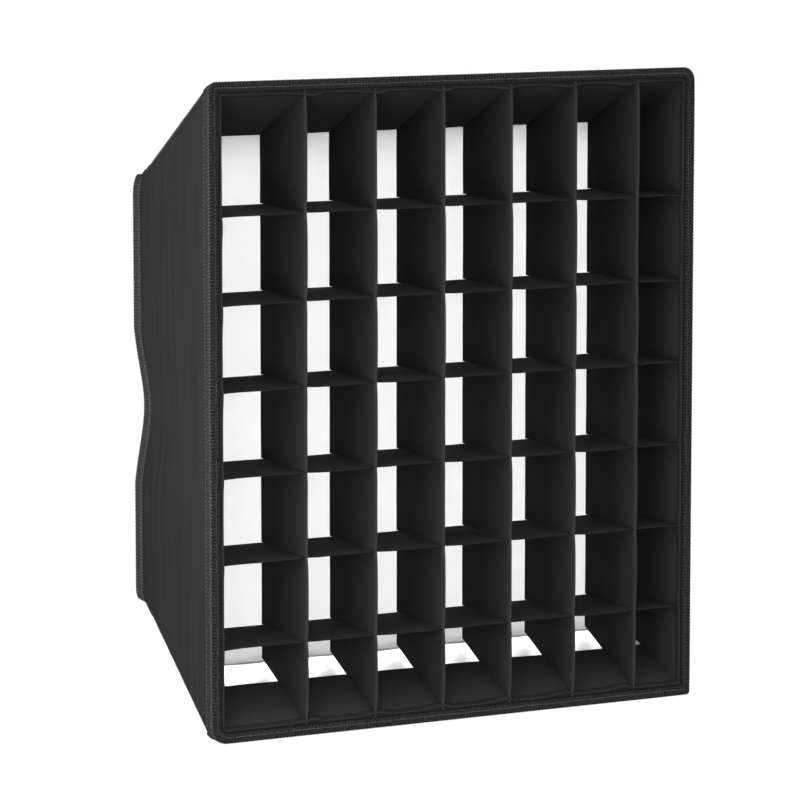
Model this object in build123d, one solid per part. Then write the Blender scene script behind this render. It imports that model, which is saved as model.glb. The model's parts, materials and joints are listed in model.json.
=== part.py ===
from build123d import *
import os

# Rectangular cloth softbox with a fabric egg-crate grid, in millimetres.
# +Z is up and the open front faces -Y. The origin is the centre of the lamp seat, the plane where the
# taper ends and the lamp's bezel rests. Depth is counted backwards from the front plane, and an offset
# is counted inwards from the outer face of the cloth walls.

# ---- driving dimensions ----
front_width = 420.0        # over the front binding
front_height = 500.0
seat_width = 376.0         # over the cloth walls at the lamp seat
seat_height = 336.0
taper_depth = 168.0        # front plane to lamp seat
ear_depth = 24.0           # the side walls run on past the seat as ears that grip the lamp

# ---- wall layers, from the outside in ----
cloth = 1.0
board = 2.5
wall = cloth + board + cloth
board_front = 13.0
board_rear_gap = 14.0

# ---- bindings and the rods in the front hem ----
tape = 1.0
binding_outer_leg = 13.0
binding_inner_leg = 8.0
rear_leg = 16.0
ear_binding_end_gap = 0.1  # an ear's binding stops just short of the mitres at its ends
rod_diameter = 2.0
rod_depth = 6.5
rod_end_gap = 14.0

# ---- lamp seat ring ----
seat_ring_thickness = 3.0
seat_ring_width = 11.5
seat_ring_side_gap = 0.8   # clear of the ears, which lean in behind the seat

# ---- rear edge of the ears, with the cut-out that clears the lamp's tilt knob ----
ear_top_radius = 18.0
ear_bottom_radius = 8.0
ear_trim = 1.5             # the wall layers stop this far inside the binding
cut_depth = 25.0
cut_top = 46.0
cut_middle = -8.0
cut_bottom = -76.0

# ---- hook-and-loop closures ----
loop_thickness = 1.2
hook_thickness = 1.0
closure_gap = 0.4
closure_width = 20.0
grid_closure_depth = 9.0

# ---- grid ----
grid_depth = 80.0
bottom_border_depth = 52.0 # the lower border stops short and leaves a strip of reflective lining open
column_widths = (80.0, 59.0, 58.5, 58.5, 56.5, 55.5, 50.0)     # left to right
row_heights = (100.0, 66.5, 65.0, 65.0, 65.0, 64.5, 72.0)      # top to bottom
divider = 1.2
slot_clearance = 0.2
border = 1.0
hem_front = 0.3
hem_rear = 6.0
hem_width = 3.9

# ---- diffuser ----
diffuser_depth = 81.0
diffuser_cloth = 0.8
diffuser_closure_depth = 84.0

# ---- lamp straps ----
strap_spacing = 210.0
strap_width = 25.0
strap_length = 90.0
strap_thickness = 1.2
strap_base_depth = 11.0
strap_base_width = 27.0
strap_pivot = 1.2          # pivot line, behind the lamp seat
strap_start = 0.5          # the free strap begins this far behind the pivot line
strap_lift = 0.2           # clear of the rear binding as it folds
patch_length = 30.0
patch_thickness = 1.0

# ---- worked out from the above ----
loop_offset = wall + loop_thickness
hook_offset = loop_offset + closure_gap
border_offset = hook_offset + hook_thickness
hem_offset = wall + tape + closure_gap
wall_half_width = front_width / 2 - tape
wall_half_height = front_height / 2 - tape
seat_half_height = seat_height / 2
rear_depth = taper_depth + ear_depth
strap_middle = seat_half_height + tape + strap_lift + strap_thickness / 2
column_places = [sum(column_widths[: i + 1]) - wall_half_width for i in range(len(column_widths) - 1)]
row_places = [wall_half_height - sum(row_heights[: i + 1]) for i in range(len(row_heights) - 1)]
SIDES = ("left", "right", "top", "bottom")
STRAPS = {"upper_left": (-1, 1), "upper_right": (1, 1), "lower_left": (-1, -1), "lower_right": (1, -1)}


def half_width(depth):
    """Half the width over the cloth walls. The side walls keep their slope to the ears' rear edge."""
    return wall_half_width - (wall_half_width - seat_width / 2) * depth / taper_depth


def half_height(depth):
    """Half the height over the cloth walls, constant behind the lamp seat."""
    return wall_half_height - (wall_half_height - seat_half_height) * min(depth, taper_depth) / taper_depth


def loft_between(front, rear):
    return Solid.make_loft([Wire.make_polygon(front, close=True), Wire.make_polygon(rear, close=True)], True)


def layer(side, front, rear, outer, inner):
    """One layer of one wall between two depths, mitred where it meets its neighbours."""
    ends = []
    for depth in (front, rear):
        s = -1 if side in ("left", "bottom") else 1
        x_out, x_in = half_width(depth) - outer, half_width(depth) - inner
        z_out, z_in = half_height(depth) - outer, half_height(depth) - inner
        y = depth - taper_depth
        if side in ("left", "right"):
            corners = [(s * x_out, z_out), (s * x_in, z_in), (s * x_in, -z_in), (s * x_out, -z_out)]
        else:
            corners = [(x_out, s * z_out), (x_in, s * z_in), (-x_in, s * z_in), (-x_out, s * z_out)]
        ends.append([(x, y, z) for x, z in corners])
    return loft_between(*ends)


def all_round(front, rear, outer, inner):
    """The same layer on all four walls, as four separate strips."""
    return Compound(children=[layer(side, front, rear, outer, inner) for side in SIDES])


def frustum(front, rear, offset):
    """Solid block that fills the shell inwards of an offset."""
    ends = []
    for depth in (front, rear):
        x, z, y = half_width(depth) - offset, half_height(depth) - offset, depth - taper_depth
        ends.append([(x, y, z), (-x, y, z), (-x, y, -z), (x, y, -z)])
    return loft_between(*ends)


def tube(front, rear, outer, inner):
    """Closed band that runs round all four walls."""
    return frustum(front, rear, outer) - frustum(front - 1, rear + 1, inner)


# ---- side walls and their ears ----
def ear_layer(side, outer, inner):
    """Side wall layer behind the lamp seat, as high as the seat."""
    s, z = (-1 if side == "left" else 1), seat_half_height
    ends = []
    for depth in (taper_depth, rear_depth):
        x_out, x_in, y = s * (half_width(depth) - outer), s * (half_width(depth) - inner), depth - taper_depth
        ends.append([(x_out, y, z), (x_in, y, z), (x_in, y, -z), (x_out, y, -z)])
    return loft_between(*ends)


def corner_arc(depth, z, radius):
    """Rounded rear corner of an ear, above or below the middle."""
    s = 1 if z > 0 else -1
    bulge = radius * (1 - 0.5**0.5)
    return ThreePointArc(
        (0, depth - radius, z),
        (0, depth - bulge, z - s * bulge),
        (0, depth, z - s * radius),
    )


def behind_ears(shift):
    """Everything behind the ears' rear edge, moved back by shift: the block that trims a side wall."""
    edge, z = ear_depth + shift, seat_half_height
    far = edge + ear_depth + cut_depth
    above = z + ear_bottom_radius
    knob_cut = Spline(
        [(0, edge, cut_top), (0, edge - cut_depth, cut_middle), (0, edge, cut_bottom)],
        tangents=[(0, -0.35, -1), (0, 0.35, -1)],
    )
    outside = Polyline(
        (0, edge - ear_bottom_radius, -z),
        (0, edge - ear_bottom_radius, -above),
        (0, far, -above),
        (0, far, above),
        (0, edge - ear_top_radius, above),
        (0, edge - ear_top_radius, z),
    )
    edges = [
        corner_arc(edge, z, ear_top_radius),
        Line((0, edge, z - ear_top_radius), (0, edge, cut_top)),
        knob_cut,
        Line((0, edge, cut_bottom), (0, edge, ear_bottom_radius - z)),
        corner_arc(edge, -z, ear_bottom_radius),
    ]
    face = Face(Wire([*edges, *outside.edges()]))
    return Solid.extrude(face.moved(Location((-front_width, 0, 0))), Vector(2 * front_width, 0, 0))


def side_layer(side, front, outer, inner, shift):
    """Side wall layer from a front depth to its ear's trimmed rear edge."""
    whole = layer(side, front, taper_depth, outer, inner) + ear_layer(side, outer, inner)
    return whole - behind_ears(shift)


# ---- cloth shell ----
def panel(side):
    """Outer cloth of one wall."""
    if side in ("left", "right"):
        return side_layer(side, tape, 0, cloth, -ear_trim)
    return layer(side, tape, taper_depth - tape, 0, cloth)


def stiffener_board(side):
    """Board sewn between the outer cloth and the lining."""
    if side in ("left", "right"):
        return side_layer(side, board_front, cloth, cloth + board, -rear_leg)
    return layer(side, board_front, taper_depth - board_rear_gap, cloth, cloth + board)


def lining(side):
    """Reflective inner cloth of one wall."""
    if side in ("left", "right"):
        return side_layer(side, tape, cloth + board, wall, -ear_trim)
    return layer(side, tape, taper_depth - tape, cloth + board, wall)


def front_binding():
    """Ribbed tape folded over the front edge, all the way round."""
    face = tube(0, tape, -tape, wall + tape)
    outer_leg = tube(tape, binding_outer_leg, -tape, 0)
    inner_leg = tube(tape, binding_inner_leg, wall, wall + tape)
    return face + outer_leg + inner_leg


def straight_rear_binding(side):
    """Tape folded over the rear edge of the top or bottom wall."""
    front = taper_depth - rear_leg
    outer_leg = layer(side, front, taper_depth, -tape, 0)
    inner_leg = layer(side, front, taper_depth, wall, wall + tape)
    return outer_leg + inner_leg + layer(side, taper_depth - tape, taper_depth, 0, wall)


def ear_binding(side):
    """Tape folded over an ear's rear edge, following its cut-out."""
    front = taper_depth - ear_depth
    folded = layer(side, front, taper_depth, -tape, wall + tape) + ear_layer(side, -tape, wall + tape)
    ear_height = Box(2 * front_width, 4 * rear_depth, seat_height - 2 * ear_binding_end_gap)
    band = (folded - behind_ears(0)) & behind_ears(-rear_leg) & ear_height
    return band - side_layer(side, tape, 0, wall, -ear_trim)


def hem_rods():
    """Four fibreglass rods in the front hem, short of the corners."""
    middle = cloth + board / 2
    x, z = half_width(rod_depth) - middle, half_height(rod_depth) - middle
    y = rod_depth - taper_depth
    upright = Cylinder(rod_diameter / 2, 2 * (z - rod_end_gap))
    level = Rot(0, 90, 0) * Cylinder(rod_diameter / 2, 2 * (x - rod_end_gap))
    rods = [Pos(s * x, y, 0) * upright for s in (-1, 1)] + [Pos(0, y, s * z) * level for s in (-1, 1)]
    return Compound(children=rods)


def lamp_seat_ring():
    """Flat ring that the lamp's bezel rests on, sewn to the rear bindings above and below."""
    width = seat_width - 2 * (wall + tape + seat_ring_side_gap)
    height = seat_height - 2 * (wall + tape)
    blank = Box(width, seat_ring_thickness, height)
    window = Box(width - 2 * seat_ring_width, 2 * seat_ring_thickness, height - 2 * seat_ring_width)
    return Pos(0, -seat_ring_thickness / 2, 0) * (blank - window)


# ---- grid ----
def divider_profile(half_size):
    """Outline of a divider seen from its side: a step for the hem, then the walls' taper."""
    step = hem_rear + closure_gap
    hem_inside = hem_offset + hem_width
    half = [
        (tape, half_size(tape) - hem_inside),
        (step, half_size(step) - hem_inside),
        (step, half_size(step) - border_offset - border),
        (grid_depth, half_size(grid_depth) - border_offset - border),
    ]
    return half + [(depth, -h) for depth, h in reversed(half)]


def slot(x, z, front, rear):
    """Slot through a divider where a crossing divider drops in."""
    size = divider + 2 * slot_clearance
    return Pos(x, (front + rear) / 2 - taper_depth, z) * Box(size, rear - front, size)


def vertical_divider(x):
    """Upright cloth strip, slotted from the rear."""
    points = [(x - divider / 2, depth - taper_depth, h) for depth, h in divider_profile(half_height)]
    strip = Solid.extrude(Face(Wire.make_polygon(points, close=True)), Vector(divider, 0, 0))
    for z in row_places:
        strip -= slot(x, z, grid_depth / 2, grid_depth + 1)
    return strip


def level_divider(z):
    """Level cloth strip, slotted from the front."""
    points = [(h, depth - taper_depth, z - divider / 2) for depth, h in divider_profile(half_width)]
    strip = Solid.extrude(Face(Wire.make_polygon(points, close=True)), Vector(0, 0, divider))
    for x in column_places:
        strip -= slot(x, z, 0, grid_depth / 2 + slot_clearance)
    return strip


def grid_border(side):
    """Cloth strip along one wall that the dividers' ends are sewn to."""
    rear = bottom_border_depth if side == "bottom" else grid_depth
    return layer(side, hem_rear, rear, border_offset, border_offset + border)


# ---- diffuser ----
def diffuser_sheet():
    """White cloth across the shell, just behind the grid."""
    return frustum(diffuser_depth, diffuser_depth + diffuser_cloth, wall + closure_gap)


def diffuser_hem():
    """Turned-back edge of the diffuser, one strip along each wall."""
    front = diffuser_depth + diffuser_cloth
    return all_round(front, diffuser_closure_depth + closure_width, border_offset, border_offset + border)


# ---- lamp straps ----
def strap(corner):
    """Free webbing strap, lying straight back over the lamp."""
    sx, sz = STRAPS[corner]
    place = Pos(sx * strap_spacing / 2, strap_pivot + strap_start, sz * strap_middle)
    from_pivot = (Align.CENTER, Align.MIN, Align.CENTER)
    return place * Box(strap_width, strap_length, strap_thickness, align=from_pivot)


def strap_hook_patch(corner):
    """Hook patch on the lamp side of a strap's free end."""
    sx, sz = STRAPS[corner]
    y = strap_pivot + strap_start + strap_length - patch_length
    z = strap_middle - (strap_thickness + patch_thickness) / 2
    patch = Box(strap_width, patch_length, patch_thickness, align=(Align.CENTER, Align.MIN, Align.CENTER))
    return Pos(sx * strap_spacing / 2, y, sz * z) * patch


def strap_base(corner):
    """Folded webbing end, sewn over the rear binding."""
    sx, sz = STRAPS[corner]
    side = "top" if sz > 0 else "bottom"
    band = layer(side, taper_depth - strap_base_depth, taper_depth, -tape - strap_thickness, -tape)
    return band & (Pos(sx * strap_spacing / 2, 0, 0) * Box(strap_base_width, front_width, front_height))


parts = {}
for side in SIDES:
    parts[f"{side}_panel"] = panel(side)
    parts[f"{side}_board"] = stiffener_board(side)
    parts[f"{side}_lining"] = lining(side)
    parts[f"grid_border_{side}"] = grid_border(side)
for side in ("left", "right"):
    parts[f"rear_binding_{side}"] = ear_binding(side)
for side in ("top", "bottom"):
    parts[f"rear_binding_{side}"] = straight_rear_binding(side)
parts["front_binding"] = front_binding()
parts["hem_rods"] = hem_rods()
parts["lamp_seat_ring"] = lamp_seat_ring()
closure_rear = grid_closure_depth + closure_width
parts["grid_loop_tape"] = all_round(grid_closure_depth, closure_rear, wall, loop_offset)
parts["grid_hook_tape"] = all_round(grid_closure_depth, closure_rear, hook_offset, border_offset)
parts["grid_front_hem"] = all_round(hem_front, hem_rear, hem_offset, hem_offset + hem_width)
for number, x in enumerate(column_places, 1):
    parts[f"grid_vertical_divider_{number}"] = vertical_divider(x)
for number, z in enumerate(row_places, 1):
    parts[f"grid_level_divider_{number}"] = level_divider(z)
diffuser_rear = diffuser_closure_depth + closure_width
parts["diffuser_loop_tape"] = all_round(diffuser_closure_depth, diffuser_rear, wall, loop_offset)
parts["diffuser_hook_tape"] = all_round(diffuser_closure_depth, diffuser_rear, hook_offset, border_offset)
parts["diffuser_sheet"] = diffuser_sheet()
parts["diffuser_hem"] = diffuser_hem()
for corner in STRAPS:
    parts[f"{corner}_strap"] = strap(corner)
    parts[f"{corner}_strap_hook_patch"] = strap_hook_patch(corner)
    parts[f"{corner}_strap_base"] = strap_base(corner)

os.makedirs("parts", exist_ok=True)
for name, shape in parts.items():
    export_step(shape, f"parts/{name}.step")
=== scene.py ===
import json
import math

import bpy
import numpy as np
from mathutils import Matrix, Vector


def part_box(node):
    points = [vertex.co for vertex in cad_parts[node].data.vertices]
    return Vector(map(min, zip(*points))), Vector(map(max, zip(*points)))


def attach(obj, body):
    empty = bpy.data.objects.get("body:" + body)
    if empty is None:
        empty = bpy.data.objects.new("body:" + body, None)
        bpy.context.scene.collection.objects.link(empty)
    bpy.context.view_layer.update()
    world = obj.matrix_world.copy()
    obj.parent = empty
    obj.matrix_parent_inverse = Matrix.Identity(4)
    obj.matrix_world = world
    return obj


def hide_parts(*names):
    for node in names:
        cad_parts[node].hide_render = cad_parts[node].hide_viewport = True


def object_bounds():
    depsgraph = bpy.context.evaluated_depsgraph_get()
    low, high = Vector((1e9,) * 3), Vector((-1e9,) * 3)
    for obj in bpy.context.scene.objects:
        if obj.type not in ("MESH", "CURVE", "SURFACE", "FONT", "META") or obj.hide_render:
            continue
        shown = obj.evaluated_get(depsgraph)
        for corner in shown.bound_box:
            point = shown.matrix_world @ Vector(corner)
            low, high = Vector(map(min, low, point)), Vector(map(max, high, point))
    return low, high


# The looks of a rectangular cloth softbox with an egg-crate grid. All lengths are in metres, in the CAD
# model's frame: the open front faces -Y, +Z is up, and the lamp seat is the plane y = 0.
# Places are read from the CAD nodes' boxes. An offset is counted inwards from the outer face of a wall,
# and a depth is counted backwards from the front plane.

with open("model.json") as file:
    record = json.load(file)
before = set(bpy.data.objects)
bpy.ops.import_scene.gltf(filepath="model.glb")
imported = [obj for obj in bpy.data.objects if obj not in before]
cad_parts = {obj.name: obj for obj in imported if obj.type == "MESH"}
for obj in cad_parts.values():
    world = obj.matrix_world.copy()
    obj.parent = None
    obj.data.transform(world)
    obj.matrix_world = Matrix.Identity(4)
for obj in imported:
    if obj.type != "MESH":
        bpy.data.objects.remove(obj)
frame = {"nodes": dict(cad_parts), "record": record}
cad_low, cad_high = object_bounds()
MM = 0.001

# ---- stock thicknesses, as in the CAD model ----
CLOTH = 1.0 * MM
TAPE = 1.0 * MM
CLOSURE_TAPE = 1.0 * MM
WEBBING = 1.2 * MM
DIVIDER = 1.2 * MM

# ---- ribbed binding tape ----
RIB_PITCH = 2.55 * MM
RIB_HEIGHT = 0.6 * MM
ROWS_PER_RIB = 4
FRONT_LEG = 13 * MM        # outer leg of the front binding
FRONT_INNER_LEG = 8 * MM
ROLL_WIDTH = 8.2 * MM
ROLL_START = 3.1 * MM      # depth where the outer leg goes over into the roll
ROLL_DEPTH = 2.2 * MM
ROLL_SQUARENESS = 0.42     # 1 is a round roll, 0 a square one
LAP_PLACE = 22 * MM        # of the tape's lap, below the upper right corner
LAP_RISE = 1.6 * MM
LAP_FADE = 10 * MM         # from the corner to the lap's full rise
LAP_EDGE = 2.4 * MM        # length of the step where it ends
EAR_LEG = 19 * MM
EAR_TRACE = 4.5 * MM       # offset at the seat of a line that stays inside the wall to the ear's end
REAR_LEG = 16 * MM
REAR_FOLD = 1.6 * MM       # depth of the rounding where a rear tape folds over
SEAT_PINCH = 2.6 * MM      # draws the rear tape's inner leg onto the seat ring
PINCH_PLACE = 3.2 * MM     # forward of the edge
PINCH_REACH = 2.6 * MM

# ---- corners of the front opening, seen from the front ----
CORNER_RADIUS = {
    "upper_left": 6 * MM,
    "upper_right": 10 * MM,
    "lower_right": 2.5 * MM,
    "lower_left": 13 * MM,
}
SEAM_RADIUS = 1.6 * MM     # of the four corner seams, behind the front binding
CORNER_FADE = 12 * MM      # depth over which the front corners tighten to the seam radius
SMALLEST_RADIUS = 0.6 * MM
CORNER_BLEND = 25 * MM     # length beside a corner where ribs fan out and a wall's swell dies away

# ---- walls ----
EDGE_INSET = 1.5 * MM      # of the cloth and lining, under the rear tape
SEAM_PUCKER = 0.16 * MM
PUCKER_REACH = 5 * MM
PUCKER_WAVE = 3.4 * MM     # wavelength over 2 pi
SWELL = 0.22 * MM          # slow unevenness of the outer cloth
CREASE = 0.25 * MM         # and of the lining
SHELL_PAINTED_LIGHT = 0.45        # painted light: how much lighter the cloth is painted at the front, where more light falls, than at the seat

# ---- stitches ----
THREAD_RADIUS = 0.33 * MM
THREAD_SHARE = 0.72        # of the pitch that a stitch covers
SEAM_STITCH = 4.2 * MM     # pitch along the corner seams
TAPE_STITCH = 3.4 * MM     # along the bindings
ANCHOR_STITCH = 2.6 * MM   # on the straps' sewn ends
SEAM_TO_STITCH = 3.5 * MM
FRONT_STITCH_INSET = 1.4 * MM
EAR_STITCH_INSET = 2.4 * MM

# ---- grid ----
HEM_PULL = 2.2 * MM        # how far each divider pulls the front hem inwards
HEM_PULL_WIDE = 14 * MM    # reach of the pull to the left and downwards
HEM_PULL_NARROW = 5 * MM   # and to the right and upwards
SLOT = 2.2 * MM
DIVIDER_HEM = 5 * MM
DIVIDER_SLACK = 0.4 * MM   # how far a divider bows between two crossings
DIVIDER_DENT = 0.9 * MM    # how far it dips at a crossing, near the front
BORDER_SLACK = 0.35 * MM
# rows of points between two crossings, as shares of the way
INTERVAL_STOPS = (0.0, 0.03, 0.08, 0.16, 0.28, 0.42, 0.58, 0.72, 0.84, 0.92, 0.97, 1.0)

# ---- lamp straps ----
STRAP_DROOP = 3.0 * MM     # of a strap's free end

# ---- camera ----
CAMERA_AZIMUTH = math.radians(-28.41)
CAMERA_ELEVATION = math.radians(7.63)
CAMERA_DISTANCE = 3.39
CAMERA_AIM_LEFT = 0.045    # the view is centred this far to the left of the front opening
CAMERA_LENS = 199.5        # millimetres on a 36 mm sensor

# ---- light ----
BRIGHT_SIDE = (-0.62, -0.25, 0.74)
BRIGHT_FROM = -0.2         # cosine from the bright side where the studio is still dim
STUDIO_DIM = 0.25
STUDIO_BRIGHT = 1.66
KEY_PLACE = (-0.60, -0.25, 0.04)
KEY_TARGET = (-0.2, -0.12, 0.04)
KEY_SIZE = (0.16, 1.3)
KEY_POWER = 3.2
LAMP_GAP = 0.016           # behind the diffuser
LAMP_DROP = 0.008          # below its middle
LAMP_SPREAD = 1.3          # its size over the diffuser's, so that the diffuser is as bright at its edges
LAMP_POWER = 2.7
SPILL_POWER = 2.8
FLOOR_DROP = 1.9           # a lamp on its stand holds the softbox this far above the floor
FLOOR_REACH = 120          # so far that its edge doesn't show

SIDES = ("top", "right", "bottom", "left")      # round the opening, clockwise from the front
OUTWARD = {"top": (0, 0, 1), "right": (1, 0, 0), "bottom": (0, 0, -1), "left": (-1, 0, 0)}
ALONG = {"top": (1, 0, 0), "right": (0, 0, -1), "bottom": (-1, 0, 0), "left": (0, 0, 1)}
CORNERS = {
    "top": ("upper_left", "upper_right"),
    "right": ("upper_right", "lower_right"),
    "bottom": ("lower_right", "lower_left"),
    "left": ("lower_left", "upper_left"),
}
random = np.random.default_rng(7)


# ======== camera, lights, floor
def new_object(name, data):
    """Object in the scene with this data."""
    made = bpy.data.objects.new(name, data)
    bpy.context.scene.collection.objects.link(made)
    return made


def add_camera():
    """Long lens, in front of the opening, to the left of it and a little above."""
    low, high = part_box("front_binding")
    opening = Vector(((low.x + high.x) / 2, low.y, (low.z + high.z) / 2))
    back = Vector((
        math.sin(CAMERA_AZIMUTH) * math.cos(CAMERA_ELEVATION),
        -math.cos(CAMERA_AZIMUTH) * math.cos(CAMERA_ELEVATION),
        math.sin(CAMERA_ELEVATION),
    ))
    right = Vector((math.cos(CAMERA_AZIMUTH), math.sin(CAMERA_AZIMUTH), 0))
    camera = new_object("camera", bpy.data.cameras.new("camera"))
    camera.location = opening + back * CAMERA_DISTANCE
    aim = opening - right * CAMERA_AIM_LEFT
    camera.rotation_mode = "QUATERNION"
    camera.rotation_quaternion = (aim - camera.location).to_track_quat("-Z", "Y")
    camera.data.lens = CAMERA_LENS
    camera.data.sensor_width = 36
    camera.data.clip_start = 0.05
    camera.data.clip_end = 4 * FLOOR_REACH
    bpy.context.scene.camera = camera


def add_soft_light(name, place, target, size, power):
    """Rectangular area light, out of the camera's sight, pointing at a target."""
    light = bpy.data.lights.new(name, "AREA")
    light.shape = "RECTANGLE"
    light.size, light.size_y = size
    light.energy = power
    lamp = new_object(name, light)
    lamp.location = place
    lamp.rotation_mode = "QUATERNION"
    lamp.rotation_quaternion = (Vector(target) - Vector(place)).to_track_quat("-Z", "Z")
    lamp.visible_camera = False
    return lamp


def add_studio():
    """White surroundings: bright in front, above and to the left, and dim behind the softbox."""
    world = bpy.data.worlds.new("studio")
    world.use_nodes = True
    tree = world.node_tree
    direction = add(tree, "TexCoord").outputs["Generated"]
    towards = add(tree, "VectorMath", {0: direction, 1: BRIGHT_SIDE}, operation="DOT_PRODUCT")
    share = {0: towards.outputs["Value"], 1: BRIGHT_FROM, 2: 1.0, 3: STUDIO_DIM, 4: STUDIO_BRIGHT}
    strength = add(tree, "MapRange", share)
    tree.links.new(strength.outputs[0], tree.nodes["Background"].inputs["Strength"])
    tree.nodes["Background"].inputs["Color"].default_value = (1, 1, 1, 1)
    bpy.context.scene.world = world


def add_lamp_glow():
    """The lamp's light behind the diffuser, and what the diffuser spills forward onto the lining.

    Returns the collections of objects that each of them lights. Nothing else shades the first one.
    """
    low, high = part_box("diffuser_sheet")
    size = (2 * high.x, 2 * high.z)
    lamp_size = (size[0] * LAMP_SPREAD, size[1] * LAMP_SPREAD)
    back = (0, high.y + LAMP_GAP, -LAMP_DROP)
    front = (0, low.y - 1 * MM, 0)
    glow = add_soft_light("lamp_glow", back, (0, low.y, -LAMP_DROP), lamp_size, LAMP_POWER)
    spill = add_soft_light("diffuser_spill", front, (0, front[1] - 1, 0), size, SPILL_POWER)
    lit_by_glow = bpy.data.collections.new("lit_by_glow")
    lit_by_spill = bpy.data.collections.new("lit_by_spill")
    glow.light_linking.receiver_collection = lit_by_glow
    glow.light_linking.blocker_collection = lit_by_glow
    spill.light_linking.receiver_collection = lit_by_spill
    return lit_by_glow, lit_by_spill


def add_floor():
    """Plain pale floor, well below the softbox, which its lamp holds up in the air."""
    height = cad_low.z - FLOOR_DROP
    corners = [(x * FLOOR_REACH, y * FLOOR_REACH, height) for x, y in ((-1, -1), (1, -1), (1, 1), (-1, 1))]
    mesh = bpy.data.meshes.new("floor")
    mesh.from_pydata(corners, [], [(0, 1, 2, 3)])
    tree, shader = new_material("studio_floor", roughness=0.9)
    blotches = add(tree, "TexNoise", {"Scale": 0.8, "Detail": 2.0}).outputs["Fac"]
    mix_colours(tree, shader, blotches, (0.94, 0.94, 0.94), (0.96, 0.96, 0.96))
    mesh.materials.append(materials["studio_floor"])
    floor = new_object("floor", mesh)
    floor.visible_diffuse = False


# ======== materials
materials = {}


def new_material(name, roughness, sheen=0.0, specular=0.4):
    """Material with a Principled shader. Returns its node tree and the shader."""
    material = bpy.data.materials.new(name)
    material.use_nodes = True
    shader = material.node_tree.nodes["Principled BSDF"]
    shader.inputs["Roughness"].default_value = roughness
    shader.inputs["Sheen Weight"].default_value = sheen
    shader.inputs["Sheen Roughness"].default_value = 0.6
    shader.inputs["Specular IOR Level"].default_value = specular
    materials[name] = material
    return material.node_tree, shader


def add(tree, kind, inputs=None, **settings):
    """Adds a node. Inputs are given by name or number, as values or as another node's output."""
    node = tree.nodes.new("ShaderNode" + kind)
    for key, value in settings.items():
        setattr(node, key, value)
    for key, value in (inputs or {}).items():
        if isinstance(value, bpy.types.NodeSocket):
            tree.links.new(value, node.inputs[key])
        else:
            node.inputs[key].default_value = value
    return node


def calculate(tree, operation, *values):
    return add(tree, "Math", dict(enumerate(values)), operation=operation).outputs[0]


def cloth_place(tree):
    """The place on the flat cloth, in metres: along the piece, and across it."""
    split = add(tree, "SeparateXYZ", {0: add(tree, "UVMap", uv_map="weave").outputs[0]})
    return split.outputs["X"], split.outputs["Y"]


def wave(tree, place, pitch):
    """Smooth wave from 0 to 1 that repeats every pitch."""
    turns = calculate(tree, "MULTIPLY", place, 2 * math.pi / pitch)
    return calculate(tree, "MULTIPLY_ADD", calculate(tree, "SINE", turns), 0.5, 0.5)


def noise(tree, along_size, across_size, detail=2.0, seed=0.0):
    """Cloud noise on the flat cloth, with its own grain size each way."""
    along, across = cloth_place(tree)
    vector = add(tree, "CombineXYZ", {
        "X": calculate(tree, "DIVIDE", along, along_size),
        "Y": calculate(tree, "DIVIDE", across, across_size),
        "Z": seed,
    })
    return add(tree, "TexNoise", {"Vector": vector.outputs[0], "Scale": 1.0, "Detail": detail}).outputs["Fac"]


def plain_weave(tree, pitch):
    """Height of a plain weave: threads of one direction over and under the others."""
    along, across = cloth_place(tree)
    warp = wave(tree, along, pitch)
    weft = wave(tree, across, pitch)
    over = wave(tree, calculate(tree, "ADD", along, across), 2 * pitch)
    return add(tree, "Mix", {0: over, 2: warp, 3: weft}, data_type="FLOAT").outputs[0]


def mix_colours(tree, shader, factor, dark, light):
    """Base colour between two colours, by a factor."""
    mix = add(tree, "Mix", {0: factor, 6: (*dark, 1), 7: (*light, 1)}, data_type="RGBA")
    tree.links.new(mix.outputs[2], shader.inputs["Base Color"])


def bump(tree, shader, height, distance, strength=1.0):
    node = add(tree, "Bump", {"Height": height, "Distance": distance, "Strength": strength})
    tree.links.new(node.outputs[0], shader.inputs["Normal"])


def with_painted_light(tree, factor, amount):
    """A factor plus the light painted into the piece's mesh: painted highlights along folds and edges,
    painted shade in rib grooves, and fronts painted lighter than the parts further in.
    """
    painted_light_and_wear = add(tree, "Attribute", attribute_name="painted_light_and_wear").outputs["Fac"]
    values = {0: painted_light_and_wear, 1: amount, 2: factor}
    return add(tree, "Math", values, operation="MULTIPLY_ADD", use_clamp=True).outputs[0]


def vary_roughness(tree, shader, factor, low, high):
    spread = add(tree, "MapRange", {"Value": factor, "To Min": low, "To Max": high})
    tree.links.new(spread.outputs[0], shader.inputs["Roughness"])


def woven_cloth(name, dark, light, pitch, streaks, painted_light_and_wear, sheen, roughness):
    """Plain-woven black cloth with slubs along the thread and a slow mottle.

    streaks and the share after it say how strongly the slubs and the painted light held in the mesh lighten
    it.
    """
    tree, shader = new_material(name, roughness, sheen, specular=0.05)
    weave = plain_weave(tree, pitch)
    slubs = noise(tree, 140 * MM, 7 * MM, detail=4.0, seed=1.0)
    mottle = noise(tree, 45 * MM, 60 * MM, detail=3.0, seed=5.0)
    tone = calculate(tree, "MULTIPLY_ADD", slubs, streaks, calculate(tree, "MULTIPLY", mottle, 0.35))
    tone = calculate(tree, "MULTIPLY_ADD", weave, 0.2, tone)
    mix_colours(tree, shader, with_painted_light(tree, tone, painted_light_and_wear), dark, light)
    vary_roughness(tree, shader, mottle, roughness - 0.08, roughness + 0.08)
    height = calculate(tree, "MULTIPLY_ADD", slubs, 0.5, weave)
    bump(tree, shader, height, 0.10 * MM, 0.6)


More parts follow.
